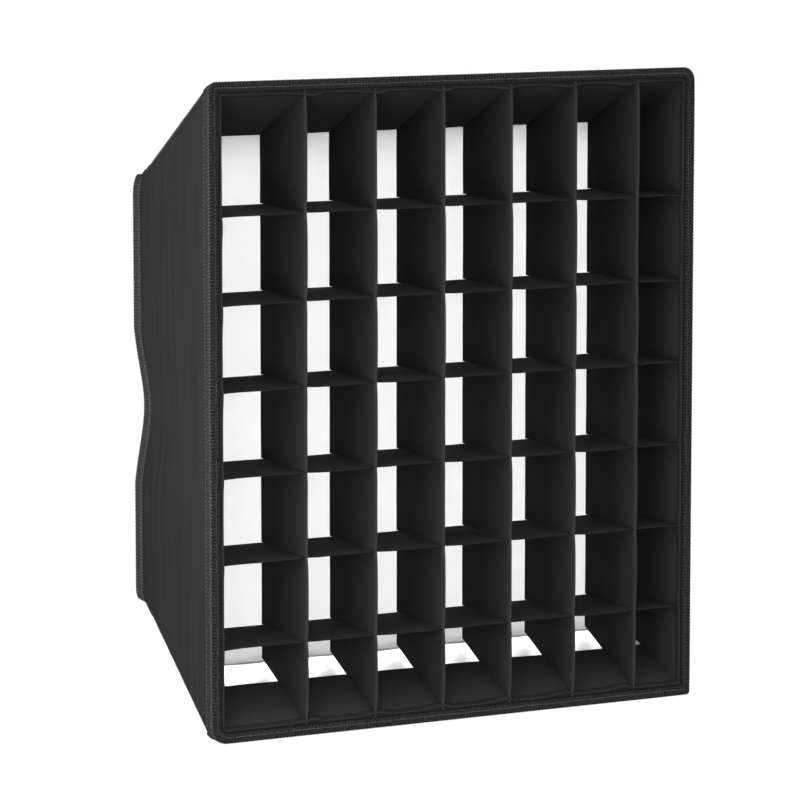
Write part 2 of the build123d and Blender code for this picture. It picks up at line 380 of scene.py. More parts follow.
def ribbed_tape():
    """Binding tape: hairy yarn over its ribs, with painted shade in the rib grooves and a painted highlight
    along the fold.
    """
    tree, shader = new_material("ribbed_tape", 0.8, sheen=0.03, specular=0.12)
    along, across = cloth_place(tree)
    threads = calculate(tree, "MULTIPLY", wave(tree, across, 0.7 * MM), wave(tree, along, RIB_PITCH / 2))
    fuzz = noise(tree, 1.1 * MM, 1.4 * MM, detail=2.0, seed=3.0)
    hairs = add(tree, "MapRange", {"Value": fuzz, "From Min": 0.54, "From Max": 0.66}).outputs[0]
    tone = calculate(tree, "MULTIPLY_ADD", hairs, 0.5, calculate(tree, "MULTIPLY", threads, 0.08))
    mix_colours(tree, shader, with_painted_light(tree, tone, 0.62), (0.002, 0.002, 0.0021), (0.115, 0.115, 0.118))
    vary_roughness(tree, shader, fuzz, 0.7, 0.9)
    bump(tree, shader, calculate(tree, "MULTIPLY_ADD", hairs, 2.0, threads), 0.2 * MM, 0.8)


def silver_lining():
    """Reflective coated cloth with fine crinkles."""
    tree, shader = new_material("silver_lining", 0.3, specular=0.5)
    shader.inputs["Metallic"].default_value = 0.6
    crinkle = noise(tree, 7 * MM, 7 * MM, detail=5.0, seed=2.0)
    weave = plain_weave(tree, 1.0 * MM)
    mix_colours(tree, shader, crinkle, (0.62, 0.63, 0.65), (0.86, 0.87, 0.88))
    vary_roughness(tree, shader, crinkle, 0.22, 0.4)
    bump(tree, shader, calculate(tree, "MULTIPLY_ADD", crinkle, 3.0, weave), 0.2 * MM, 0.7)


def closure_tape(name, pile):
    """Loop tape, a dense pile of little loops, or hook tape, rows of little hooks."""
    tree, shader = new_material(name, 0.95 if pile else 0.6, sheen=0.5 if pile else 0.05)
    along, across = cloth_place(tree)
    if pile:
        height = noise(tree, 0.9 * MM, 0.9 * MM, detail=4.0, seed=4.0)
    else:
        height = calculate(tree, "MULTIPLY", wave(tree, along, 1.4 * MM), wave(tree, across, 1.1 * MM))
    mix_colours(tree, shader, height, (0.012, 0.012, 0.013), (0.065, 0.065, 0.068))
    vary_roughness(tree, shader, height, 0.55, 0.95)
    bump(tree, shader, height, 0.6 * MM, 0.9)


def webbing():
    """Nylon webbing in a herringbone weave."""
    tree, shader = new_material("strap_webbing", 0.6, sheen=0.05, specular=0.3)
    along, across = cloth_place(tree)
    slant = calculate(tree, "ADD", along, calculate(tree, "PINGPONG", across, 3.2 * MM))
    herringbone = calculate(tree, "MULTIPLY", wave(tree, slant, 1.5 * MM), wave(tree, across, 0.8 * MM))
    fuzz = noise(tree, 2 * MM, 1 * MM, seed=6.0)
    tone = calculate(tree, "MULTIPLY_ADD", fuzz, 0.3, herringbone)
    mix_colours(tree, shader, with_painted_light(tree, tone, 0.4), (0.006, 0.006, 0.0065), (0.036, 0.036, 0.038))
    vary_roughness(tree, shader, fuzz, 0.45, 0.65)
    bump(tree, shader, herringbone, 0.3 * MM, 0.8)


def diffusion_cloth():
    """White cloth that lets the lamp's light through."""
    tree, shader = new_material("diffuser_cloth", 0.9, sheen=0.2, specular=0.2)
    weave = plain_weave(tree, 0.9 * MM)
    cloudy = noise(tree, 30 * MM, 22 * MM, detail=3.0, seed=8.0)
    tone = calculate(tree, "MULTIPLY_ADD", weave, 0.2, cloudy)
    mix_colours(tree, shader, tone, (0.86, 0.86, 0.86), (0.94, 0.94, 0.94))
    bump(tree, shader, weave, 0.08 * MM, 0.5)
    through = add(tree, "BsdfTranslucent", {"Color": (0.93, 0.93, 0.93, 1)})
    both = add(tree, "MixShader", {0: 0.5, 1: shader.outputs[0], 2: through.outputs[0]})
    tree.links.new(both.outputs[0], tree.nodes["Material Output"].inputs["Surface"])


def white_hem():
    """White elastic hem of the diffuser, ribbed along its length."""
    tree, shader = new_material("diffuser_hem_tape", 0.85, sheen=0.2)
    along, across = cloth_place(tree)
    ribs = calculate(tree, "MULTIPLY", wave(tree, across, 1.6 * MM), wave(tree, along, 0.9 * MM))
    mix_colours(tree, shader, ribs, (0.66, 0.66, 0.66), (0.88, 0.88, 0.88))
    vary_roughness(tree, shader, ribs, 0.75, 0.92)
    bump(tree, shader, ribs, 0.3 * MM, 0.8)


def sewing_thread():
    """Twisted black thread."""
    tree, shader = new_material("sewing_thread", 0.5, sheen=0.2)
    place = add(tree, "TexCoord").outputs["Object"]
    twist = add(tree, "TexNoise", {"Vector": place, "Scale": 1500.0, "Detail": 1.0}).outputs["Fac"]
    mix_colours(tree, shader, twist, (0.012, 0.012, 0.0124), (0.06, 0.06, 0.062))
    vary_roughness(tree, shader, twist, 0.4, 0.6)


def solid_stock(name, dark, light, grain, roughness, stretch=(1, 1, 1)):
    """Board, rod or moulded plastic: a fine grain in the object's own coordinates."""
    tree, shader = new_material(name, roughness)
    place = add(tree, "Mapping", {0: add(tree, "TexCoord").outputs["Object"], 3: stretch}).outputs[0]
    grit = add(tree, "TexNoise", {"Vector": place, "Scale": 1 / grain, "Detail": 4.0}).outputs["Fac"]
    mix_colours(tree, shader, grit, dark, light)
    vary_roughness(tree, shader, grit, roughness - 0.1, roughness + 0.1)
    bump(tree, shader, grit, 0.12 * MM, 0.5)


def make_materials():
    woven_cloth(
        "shell_cloth", (0.001, 0.001, 0.001), (0.027, 0.027, 0.0275),
        pitch=1.0 * MM, streaks=0.6, painted_light_and_wear=0.5, sheen=0.0, roughness=0.85,
    )
    woven_cloth(
        "grid_cloth", (0.008, 0.008, 0.0082), (0.042, 0.042, 0.043),
        pitch=0.9 * MM, streaks=0.15, painted_light_and_wear=0.7, sheen=0.01, roughness=0.92,
    )
    woven_cloth(
        "border_cloth", (0.027, 0.027, 0.0275), (0.050, 0.050, 0.051),
        pitch=0.9 * MM, streaks=0.25, painted_light_and_wear=0.5, sheen=0.01, roughness=0.9,
    )
    woven_cloth(
        "hem_cloth", (0.007, 0.007, 0.0072), (0.034, 0.034, 0.035),
        pitch=0.9 * MM, streaks=0.25, painted_light_and_wear=0.7, sheen=0.01, roughness=0.9,
    )
    ribbed_tape()
    silver_lining()
    closure_tape("loop_tape", pile=True)
    closure_tape("hook_tape", pile=False)
    webbing()
    diffusion_cloth()
    white_hem()
    sewing_thread()
    solid_stock("stiffener_board", (0.05, 0.05, 0.05), (0.08, 0.08, 0.08), 1.2 * MM, 0.6, (1, 1, 0.2))
    solid_stock("fibreglass_rod", (0.70, 0.68, 0.56), (0.86, 0.84, 0.74), 0.8 * MM, 0.4, (0.2, 1, 0.2))
    solid_stock("seat_ring", (0.03, 0.03, 0.031), (0.05, 0.05, 0.052), 0.9 * MM, 0.55)


# ======== the shell's walls, read from the frame
panel_low, panel_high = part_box("left_panel")
roof_low, roof_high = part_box("top_panel")
front_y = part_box("front_binding")[0].y
seat_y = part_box("rear_binding_top")[1].y


def straight(y, y0, value0, y1, value1):
    return value0 + (value1 - value0) * (y - y0) / (y1 - y0)


def half_width(y):
    """Half the width over the cloth walls. The side walls keep their slope to the ears' rear edge."""
    return straight(y, panel_low.y, -panel_low.x, panel_high.y, CLOTH - panel_high.x)


def half_height(y):
    """Half the height over the cloth walls, constant behind the lamp seat."""
    return straight(np.minimum(y, seat_y), roof_low.y, roof_high.z, roof_high.y, roof_low.z + CLOTH)


def outer_offset(node):
    """Offset of the outer face of a node on the left wall, or of one that runs all round."""
    low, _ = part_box(node)
    return half_width(low.y) + low.x


def inner_offset(node):
    """Offset of the inner face of a node on the left wall."""
    _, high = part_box(node)
    return half_width(high.y) + high.x


def fine_stops():
    """1201 values from -1 to 1, closer together towards both ends."""
    return np.sin(np.linspace(-1, 1, 1201) * math.pi / 2)


def trace_ear(side):
    """Heights up a side wall, and how far back its rear edge is at each, from the CAD binding."""
    binding = frame["nodes"][f"rear_binding_{side}"]
    _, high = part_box(f"rear_binding_{side}")
    inward = half_width(seat_y) - EAR_TRACE
    x = -inward if side == "left" else inward
    heights = fine_stops() * (high.z - 0.1 * MM)
    reach = []
    for z in heights:
        hit, place, _, _ = binding.ray_cast(Vector((x, high.y + 0.1, z)), Vector((0, -1, 0)))
        reach.append(place.y if hit else seat_y)
    return heights, np.array(reach)


EARS = {side: trace_ear(side) for side in ("left", "right")}


def smooth(t):
    t = np.clip(t, 0, 1)
    return t * t * (3 - 2 * t)


def corner_radius(corner, y):
    """Radius of a corner of the shell: rounded at the front opening, tight along the corner seam."""
    front = CORNER_RADIUS[corner]
    return front + (SEAM_RADIUS - front) * smooth((y - front_y) / CORNER_FADE)


def half_length(side, y):
    return half_width(y) if side in ("top", "bottom") else half_height(y)


def wall_points(side, v, y, offset):
    """Points on a wall. v runs from -1 to 1 between its two corners."""
    v, y, offset = np.broadcast_arrays(v, y, offset)
    out = half_height(y) if side in ("top", "bottom") else half_width(y)
    reach = half_length(side, y) - offset
    before, after = CORNERS[side]
    radius = np.where(v > 0, corner_radius(after, y), corner_radius(before, y))
    radius = np.maximum(radius - offset, SMALLEST_RADIUS)
    turn = np.clip((abs(v) * reach - (reach - radius)) / radius, 0, 1) * math.pi / 4
    place = np.where(turn > 0, reach - radius + radius * np.sin(turn), abs(v) * reach) * np.sign(v)
    level = out - offset - radius * (1 - np.cos(turn))
    along, outward = np.array(ALONG[side], float), np.array(OUTWARD[side], float)
    points = place[..., None] * along + level[..., None] * outward
    points[..., 1] += y
    return points


def wall_stops(side, step):
    """Values of v along a wall, an even step apart, with extra ones at both corners."""
    count = max(8, round(2 * half_length(side, front_y) / step))
    inner = np.linspace(-0.93, 0.93, count)
    corner = np.array([0.945, 0.96, 0.972, 0.982, 0.99, 0.995, 1.0])
    return np.concatenate([-corner[::-1], inner, corner])


# ======== cloth meshes
def surface_normals(middle, closed):
    """Unit normals of a grid of points, from rows crossed with columns."""
    if closed:
        along = np.roll(middle, -1, 0) - np.roll(middle, 1, 0)
    else:
        along = np.gradient(middle, axis=0)
    normal = np.cross(along, np.gradient(middle, axis=1))
    return normal / np.maximum(np.linalg.norm(normal, axis=2, keepdims=True), 1e-12)


def lengths_along(points):
    """Distance along a line of points, from its start."""
    return np.concatenate([[0], np.cumsum(np.linalg.norm(np.diff(points, axis=0), axis=1))])


def missing_beside(kept, axis, shift, closed):
    """True for kept cells that have no kept neighbour on one side."""
    neighbour = np.roll(kept, shift, axis)
    if not (closed and axis == 0):
        edge = [slice(None), slice(None)]
        edge[axis] = 0 if shift == 1 else -1
        neighbour[tuple(edge)] = False
    return kept & ~neighbour


def cloth(name, middle, thickness, relief=0.0, painted_light_and_wear=0.0, closed=False, keep=None):
    """Closed thin mesh round a grid of points on the cloth's middle surface.

    Rows run along the piece and columns across it. closed joins the last row to the first. keep says
    which cells there are. relief raises the outer face only, and the painted light at each point is kept for
    the material.
    """
    rows, columns = middle.shape[:2]
    size = rows * columns
    thickness = np.broadcast_to(thickness, (rows, columns))[..., None]
    relief = np.broadcast_to(relief, (rows, columns))[..., None]
    painted_light_and_wear = np.broadcast_to(painted_light_and_wear, (rows, columns)).reshape(-1)
    normal = surface_normals(middle, closed)
    outer = middle + normal * (thickness / 2 + relief)
    inner = middle - normal * thickness / 2
    points = np.concatenate([outer.reshape(-1, 3), inner.reshape(-1, 3)])

    kept = np.ones((rows if closed else rows - 1, columns - 1), bool) if keep is None else keep
    i, j = np.nonzero(kept)
    ring = ((i, j), (i + 1, j), (i + 1, j + 1), (i, j + 1))
    layers = [[(*ring[k], 0) for k in range(4)], [(*ring[k], 1) for k in (3, 2, 1, 0)]]
    for axis, shift, a, b in ((1, 1, 0, 1), (0, -1, 1, 2), (1, -1, 2, 3), (0, 1, 3, 0)):
        cut = missing_beside(kept, axis, shift, closed)[i, j]
        start, end = [(ring[k][0][cut], ring[k][1][cut]) for k in (a, b)]
        layers.append([(*end, 0), (*start, 0), (*start, 1), (*end, 1)])

    faces = []
    places = []
    along = lengths_along(np.concatenate([middle, middle[:1]])[:, columns // 2])
    across = lengths_along(middle[rows // 2])
    for layer in layers:
        faces.append(np.stack([(r % rows) * columns + c + back * size for r, c, back in layer], 1))
        places.append(np.stack([np.stack([along[r], across[c]], 1) for r, c, _ in layer], 1))
    faces = np.concatenate(faces)
    used, faces = np.unique(faces, return_inverse=True)

    mesh = bpy.data.meshes.new(name)
    mesh.from_pydata(points[used].tolist(), [], faces.reshape(-1, 4).tolist())
    mesh.uv_layers.new(name="weave").data.foreach_set("uv", np.concatenate(places).ravel())
    values = np.concatenate([painted_light_and_wear, painted_light_and_wear])[used]
    mesh.attributes.new("painted_light_and_wear", "FLOAT", "POINT").data.foreach_set("value", values.astype(np.float32))
    mesh.shade_smooth()
    mesh.set_sharp_from_angle(angle=math.radians(55))
    piece = new_object(name, mesh)
    piece["flat"] = flat_size(middle, closed, kept)
    return piece


def flat_size(middle, closed, kept):
    """Width, length and area of the flat cut, measured on the middle surface."""
    loop = np.concatenate([middle, middle[:1]]) if closed else middle
    sides = [loop[:-1, :-1], loop[1:, :-1], loop[1:, 1:], loop[:-1, 1:]]
    cells = np.linalg.norm(np.cross(sides[2] - sides[0], sides[3] - sides[1]), axis=2) / 2
    length = np.linalg.norm(np.diff(loop, axis=0), axis=2).sum(0).max()
    width = np.linalg.norm(np.diff(loop, axis=1), axis=2).sum(1).max()
    return [width, length, min(cells[kept].sum(), width * length)]


body_of = {node: body for body, nodes in frame["record"]["behaviour"]["bodies"].items() for node in nodes}


def sew_in(piece, material, node):
    """Places a sheet of cloth that stands for a CAD node on that node's body, with its material, and hides
    the node.
    """
    piece.data.materials.append(materials[material])
    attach(piece, body_of[node])
    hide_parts(node)


# ======== stitches
def stitches(name, side, line, pitch, node):
    """Row of raised stitches along a line of points on the outside of a wall.

    Each stitch is a closed tube of six rings of six points.
    """
    distance = lengths_along(line)
    count = int(distance[-1] / pitch)
    middles = (np.arange(count) + 0.5) * distance[-1] / count
    half = pitch * THREAD_SHARE / 2
    start, stop = [
        np.stack([np.interp(middles + way, distance, line[:, k]) for k in range(3)], 1)[:, None, None]
        for way in (-half, half)
    ]
    centre, direction = (start + stop) / 2, (stop - start) / 2
    normal = np.array(OUTWARD[side], float)
    across = np.cross(direction / np.linalg.norm(direction, axis=3, keepdims=True), normal)
    t = np.array([-1, -0.72, -0.25, 0.25, 0.72, 1])[:, None, None]
    girth = np.array([0.25, 0.75, 1, 1, 0.75, 0.25])[:, None, None]
    angle = (np.arange(6) * math.pi / 3)[:, None]
    swing = girth * (across * np.cos(angle) + normal * np.sin(angle))
    points = centre + direction * t + THREAD_RADIUS * (0.5 * (1 - t * t) * normal + swing)
    skin = []
    for a in range(30):
        b = a - 5 if a % 6 == 5 else a + 1
        skin.append((a, b, b + 6, a + 6))
    skin += [(5, 4, 3, 2, 1, 0), (30, 31, 32, 33, 34, 35)]
    faces = [[stitch * 36 + point for point in face] for stitch in range(count) for face in skin]
    mesh = bpy.data.meshes.new(name)
    mesh.from_pydata(points.reshape(-1, 3).tolist(), [], faces)
    mesh.shade_smooth()
    mesh.materials.append(materials["sewing_thread"])
    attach(new_object(name, mesh), body_of[node])


# ======== shell
def rear_limits(side, v):
    """Rear edge of a wall at each v: straight at the seat, or the ear's edge on a side wall."""
    if side in ("top", "bottom"):
        return np.full_like(v, seat_y)
    heights, reach = EARS[side]
    return np.interp(ALONG[side][2] * v * half_height(seat_y), heights, reach)


def wall_sheet(side, kind):
    """Place across, depth and offset of the middle of a wall's cloth or lining, back to its rear edge."""
    node = f"{side}_{kind}"
    low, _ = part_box(node)
    offset = (outer_offset(f"left_{kind}") + inner_offset(f"left_{kind}")) / 2
    v = wall_stops(side, 5 * MM)[:, None]
    rear = rear_limits(side, v[:, 0])[:, None] - EDGE_INSET
    t = np.concatenate([np.array([0, 0.01, 0.02, 0.035, 0.05]), np.linspace(0.07, 1, 38)])
    y = low.y + (rear - low.y) * t
    return v, y, offset


def shell_wall(side):
    """Outer cloth of one wall, drawn tight over its board, with puckers along the corner seams."""
    v, y, offset = wall_sheet(side, "panel")
    from_corner = (1 - abs(v)) * half_length(side, y)
    beside_seam = np.exp(-((from_corner - PUCKER_REACH) / PUCKER_REACH) ** 2)
    pucker = np.sin(y / PUCKER_WAVE + np.sin(y * 90)) * beside_seam
    behind_tape = smooth((y - front_y - FRONT_LEG - 1 * MM) / (10 * MM))
    slow = np.sin(v * 5.1 + y * 21) * np.sin(y * 37 + v * 2) * smooth(from_corner / CORNER_BLEND)
    swell = SEAM_PUCKER * pucker * behind_tape + SWELL * slow
    # painted light: the cloth is painted lighter towards the front and darker towards the seat
    painted_light_ramp = SHELL_PAINTED_LIGHT * (seat_y - y) / (seat_y - front_y)
    points = wall_points(side, v, y, offset - swell - 0.1 * MM)
    piece = cloth(f"{side}_wall_cloth", points, CLOTH * 0.8, 0.0, painted_light_ramp)
    sew_in(piece, "shell_cloth", f"{side}_panel")


def shell_lining(side, lit_by_spill):
    """Silver lining of one wall, lit by what the diffuser spills forward."""
    v, y, offset = wall_sheet(side, "lining")
    crease = CREASE * np.sin(v * 23 + y * 61) * np.sin(y * 47 - v * 9)
    points = wall_points(side, v, y, offset + crease + 0.15 * MM)[::-1]
    piece = cloth(f"{side}_wall_lining", points, CLOTH * 0.7)
    sew_in(piece, "silver_lining", f"{side}_lining")
    lit_by_spill.objects.link(piece)


def ribs(count):
    """Rib height from 0 to 1 at each row."""
    return 0.5 - 0.5 * np.cos(2 * math.pi * np.arange(count) / ROWS_PER_RIB)


def tape_painted_light(rows, columns, highlight_at, legs):
    """Painted light on a ribbed tape: painted shade in the rib grooves, a front face painted lighter than its
    legs, which get more light, and a painted highlight along its fold.
    """
    # painted shade in the rib grooves, lighter on the crests
    rib_groove_shade = ribs(rows)[:, None] ** 2
    place = np.arange(columns)
    # painted light: the legs, which the key light reaches more, are painted darker than the front face
    on_leg = (place < legs) | (place >= columns - legs)
    # painted highlight along the fold
    fold = np.exp(-(place - highlight_at) ** 2)
    return np.clip(np.where(on_leg, 0.2, 0.45) * rib_groove_shade + fold * (0.4 + 0.6 * rib_groove_shade), 0, 1)


def front_roll():
    """Section of the front binding, as depth and offset: outer leg, rounded front, inner leg."""
    outer_leg = [(FRONT_LEG - back * MM, TAPE / -2) for back in (0, 1.5, 3.5, 5.5, 7.5, 8.8)]
    middle = ROLL_WIDTH / 2 - TAPE
    half = (ROLL_WIDTH - TAPE) / 2
    roll = []
    for turn in np.linspace(math.pi, 0, 15):
        depth = ROLL_START - ROLL_DEPTH * math.sin(turn) ** ROLL_SQUARENESS
        across = math.copysign(abs(math.cos(turn)) ** ROLL_SQUARENESS, math.cos(turn))
        roll.append((depth, middle + half * across))
    inner = inner_offset("left_lining") + TAPE / 2
    inner_leg = [(4.6 * MM, inner + 1.5 * MM), (6.2 * MM, inner + 0.4 * MM), (FRONT_INNER_LEG, inner)]
    return np.array(outer_leg + roll + inner_leg)


def lap_step(side, v):
    """How far the binding lies inwards beyond its lap, which ends just below the upper right corner."""
    if side != "right":
        return np.zeros_like(v)
    below = (v + 1) * half_height(front_y)
    return LAP_RISE * smooth(below / LAP_FADE) * (1 - smooth((below - LAP_PLACE) / LAP_EDGE))


def square_across(side, v, offset):
    """Values of v that keep a line across a strip square to the wall, except close to its corners."""
    half = half_length(side, front_y)
    squared = np.clip(v * half / (half - offset), -1, 1)
    return v + (squared - v) * smooth((1 - abs(v)) * half / CORNER_BLEND)


def front_binding():
    """Ribbed tape rolled over the front edge, all the way round, its two ends lapped."""
    section = front_roll()
    outer_half = 1 - smooth(section[:, 1] / ROLL_WIDTH)
    rows = []
    for side in SIDES:
        rib_count = round(2 * half_length(side, front_y) / RIB_PITCH)
        v = np.linspace(-1, 1, ROWS_PER_RIB * rib_count, endpoint=False)[:, None]
        offset = section[:, 1] + outer_half * lap_step(side, v)
        rows.append(wall_points(side, square_across(side, v, offset), front_y + section[:, 0], offset))
    middle = np.concatenate(rows)
    relief = RIB_HEIGHT * (ribs(len(middle))[:, None] - 1)
    # painted shade in the rib grooves, a lighter front face and a painted highlight along the fold
    painted_light_and_wear = tape_painted_light(len(middle), len(section), highlight_at=7.6, legs=6)
    piece = cloth("front_edge_binding", middle[:, ::-1], TAPE, relief, painted_light_and_wear[:, ::-1], closed=True)
    sew_in(piece, "ribbed_tape", "front_binding")


def fold_section(leg, wall, pinch):
    """Section of a tape folded over a rear edge: distance forward of the edge, and offset.

    pinch is how far the inner leg is drawn inwards, onto the seat ring, just forward of the edge.
    """
    legs = np.array([1.0, 0.97, 0.85, 0.7, 0.55, 0.4, 0.28, 0.18])
    half = (wall + TAPE) / 2
    outer = [(leg * share, -TAPE / 2) for share in legs]
    turns = np.linspace(math.pi, 0, 11)
    fold = [(REAR_FOLD * (1 - math.sin(a) ** 0.6) + TAPE / 2, wall / 2 + half * math.cos(a)) for a in turns]
    drawn = pinch * np.exp(-((leg * legs[::-1] - PINCH_PLACE) / PINCH_REACH) ** 2)
    inner = [(leg * share, wall + TAPE / 2 + more) for share, more in zip(legs[::-1], drawn)]
    return np.array(outer + fold + inner)


def rear_edge_rows(side, step):
    """Values of v an even distance apart along a wall's rear edge, and the edge's place at each."""
    if side in ("top", "bottom"):
        v = np.linspace(-1, 1, round(2 * half_width(seat_y) / step))
        return v, np.full_like(v, seat_y)
    fine = fine_stops()
    edge = rear_limits(side, fine)
    distance = lengths_along(np.stack([fine * half_height(seat_y), edge], 1))
    count = ROWS_PER_RIB * round(distance[-1] / step / ROWS_PER_RIB)
    v = np.interp(np.linspace(0, distance[-1], count), distance, fine)
    return v, np.interp(v, fine, edge)


def rear_binding(side):
    """Ribbed tape folded over the rear edge of one wall."""
    leg, pinch = (EAR_LEG, 0.0) if side in ("left", "right") else (REAR_LEG, SEAT_PINCH)
    section = fold_section(leg, inner_offset("left_lining"), pinch)
    v, edge = rear_edge_rows(side, RIB_PITCH / ROWS_PER_RIB)
    y = edge[:, None] - section[:, 0]
    middle = wall_points(side, v[:, None] * 0.998, y, section[:, 1])
    relief = RIB_HEIGHT * ribs(len(v))[:, None] * np.ones(len(section))
    # painted shade in the rib grooves and a painted highlight along the fold
    painted_light_and_wear = tape_painted_light(len(v), len(section), highlight_at=0.4, legs=9)
    piece = cloth(f"rear_edge_binding_{side}", middle, TAPE, relief - RIB_HEIGHT, painted_light_and_wear)
    sew_in(piece, "ribbed_tape", f"rear_binding_{side}")


def all_round(name, y, offset, thickness):
    """Strip that runs all round the shell at fixed depths and offsets across it."""
    rows = []
    for side in SIDES:
        v = np.linspace(-1, 1, round(2 * half_length(side, front_y) / (6 * MM)), endpoint=False)[:, None]
        rows.append(wall_points(side, v, y, offset))
    return cloth(name, np.concatenate(rows)[:, ::-1], thickness, closed=True)


def closure(node, name, material):
    """Hook or loop tape round the inside, with its two sewn edges a little lower than the pile."""
    low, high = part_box(node)
    across = np.array([0, 0.02, 0.08, 0.12, 0.3, 0.5, 0.7, 0.88, 0.92, 0.98, 1])
    y = low.y + (high.y - low.y) * across
    offset = outer_offset(node) + CLOSURE_TAPE * 0.6
    thickness = np.where((across > 0.1) & (across < 0.9), CLOSURE_TAPE * 0.9, CLOSURE_TAPE * 0.55)
    piece = all_round(name, y, offset, thickness)
    sew_in(piece, material, node)


def seam_stitches():
    """Stitch rows: along the corner seams, the front binding and the ears' bindings."""
    y = np.linspace(front_y + 16 * MM, seat_y - 14 * MM, 60)
    for side in ("left", "right"):
        for v, end in ((-1, "first"), (1, "second")):
            edge = v * (1 - SEAM_TO_STITCH / half_height(y))
            line = wall_points(side, edge, y, -0.35 * MM)
            stitches(f"corner_stitches_{side}_{end}", side, line, SEAM_STITCH, f"{side}_panel")
    for side in SIDES:
        v = np.linspace(-0.97, 0.97, 200)
        line = wall_points(side, v, front_y + FRONT_LEG - FRONT_STITCH_INSET, 0.05 * MM - TAPE)
        stitches(f"front_stitches_{side}", side, line, TAPE_STITCH, "front_binding")
    for side in ("left", "right"):
        v, edge = rear_edge_rows(side, 2 * MM)
        v, edge = v[8:-8], edge[8:-8]
        line = wall_points(side, v, edge - EAR_LEG + EAR_STITCH_INSET, 0.05 * MM - TAPE)
        stitches(f"ear_stitches_{side}", side, line, TAPE_STITCH, f"rear_binding_{side}")


# ======== grid
column_places = [sum(v.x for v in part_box(f"grid_vertical_divider_{n}")) / 2 for n in range(1, 7)]
row_places = [sum(v.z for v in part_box(f"grid_level_divider_{n}")) / 2 for n in range(1, 7)]
border_inner = inner_offset("grid_border_left")


def divider_pull(place, dividers):
    """From 0 to 1, how strongly the dividers pull at a place along the hem."""
    pull = np.zeros_like(place)
    for divider in dividers:
        away = place - divider
        reach = np.where(away < 0, HEM_PULL_WIDE, HEM_PULL_NARROW)
        pull = np.maximum(pull, np.exp(-(away / reach) ** 2))
    return pull


def grid_hem():
    """Grid's front hem: a flat folded strip with a rolled inner edge that the dividers pull inwards."""
    outer = ROLL_WIDTH - TAPE - 0.3 * MM
    inner = border_inner + 1.3 * MM
    strip = [(5.4, 0.0), (3.6, 0.0), (2.4, 0.06), (1.9, 0.3), (1.9, 0.6), (2.0, 0.8)]
    bead = [(1.5, 0.86), (1.2, 0.97), (1.3, 1.12), (1.8, 1.2), (2.8, 1.18), (4.0, 1.12), (5.4, 1.1)]
    section = np.array(strip + bead)
    rows = []
    for side in SIDES:
        half = half_length(side, front_y)
        v = np.linspace(-1, 1, round(2 * half / (2 * MM)), endpoint=False)[:, None]
        place = v * half * sum(ALONG[side])
        dividers = column_places if side in ("top", "bottom") else row_places
        strength = 1.0 if side in ("top", "bottom") else 0.3
        pull = strength * HEM_PULL * divider_pull(place, dividers)
        offset = outer + section[:, 1] * (inner - outer) + pull * np.clip(section[:, 1], 0, 1) ** 2
        rows.append(wall_points(side, v, front_y + section[:, 0] * MM, offset))
    middle = np.concatenate(rows)
    # painted highlight along the front of the rolled bead
    painted_light_and_wear = np.tile(np.exp(-((np.arange(len(section)) - len(strip) - 1) / 1.2) ** 2), (len(middle), 1))
    piece = cloth("grid_hem", middle[:, ::-1], 0.7 * MM, 0.0, painted_light_and_wear[:, ::-1], closed=True)
    sew_in(piece, "hem_cloth", "grid_front_hem")


def grid_border(side):
    """Cloth strip along one wall that the dividers' ends are sewn to, a little slack between them."""
    node = f"grid_border_{side}"
    low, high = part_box(node)
    offset = (outer_offset("grid_border_left") + border_inner) / 2
    v = wall_stops(side, 4 * MM)[:, None]
    y = low.y + (high.y - low.y) * np.linspace(0, 1, 16)
    place = v * half_length(side, front_y) * sum(ALONG[side])
    dividers = np.array(column_places if side in ("top", "bottom") else row_places)
    slack = BORDER_SLACK * np.prod([np.tanh(abs(place - d) / (12 * MM)) for d in dividers], axis=0)
    piece = cloth(f"grid_side_cloth_{side}", wall_points(side, v, y, offset + slack)[:, ::-1], CLOTH * 0.7)
    sew_in(piece, "border_cloth", node)


def divider_surface(reach, crossings, depths, lean, dent_side):
    """Rows of points on a divider: the place along it, and how far the cloth leaves its plane there.

    It leans over by lean at its front corners, and dent_side says to which side it dips at a crossing.
    """
    ends = [-reach, *[np.full_like(reach, c) for c in crossings], reach]
    rows, bulge = [], []
    depth = depths - depths[0]
    near_front = np.exp(-depth / (22 * MM))
    for k in range(len(ends) - 1):
        start = ends[k] + (SLOT / 2 if k else 0)
        stop = ends[k + 1] - (SLOT / 2 if k < len(ends) - 2 else 0)
        swing = DIVIDER_SLACK * random.uniform(0.5, 1.0) * random.choice((-1, 1))
        for share in INTERVAL_STOPS:
            place = start + (stop - start) * share
            rows.append(place)
            bow = swing * math.sin(math.pi * share) * (0.35 + 0.65 * near_front)
            bulge.append(bow + np.zeros_like(place))
    rows, bulge = np.array(rows), np.array(bulge)
    for crossing in crossings:
        dent = np.exp(-((rows - crossing) / (6 * MM)) ** 2) * np.exp(-((depth - 9 * MM) / (9 * MM)) ** 2)
        bulge += dent_side * DIVIDER_DENT * dent
    from_end = reach - abs(rows)
    flare = np.clip(1 - from_end / (20 * MM), 0, 1) ** 2 * np.clip(1 - depth / (20 * MM), 0, 1) ** 2
    return rows, bulge - lean * flare


def divider_depths(low, high, start):
    """Depths across a divider, close together along its front hem and at the slots' ends."""
    front = low.y + start
    hem = front + np.array([0, 0.5, 1.2, 2.2, 3.4, 4.4, 5.0, 5.6]) * MM
    middle = (low.y + high.y) / 2
    return np.concatenate([hem, np.linspace(front + 9 * MM, middle, 6), np.linspace(middle, high.y, 8)[1:]])


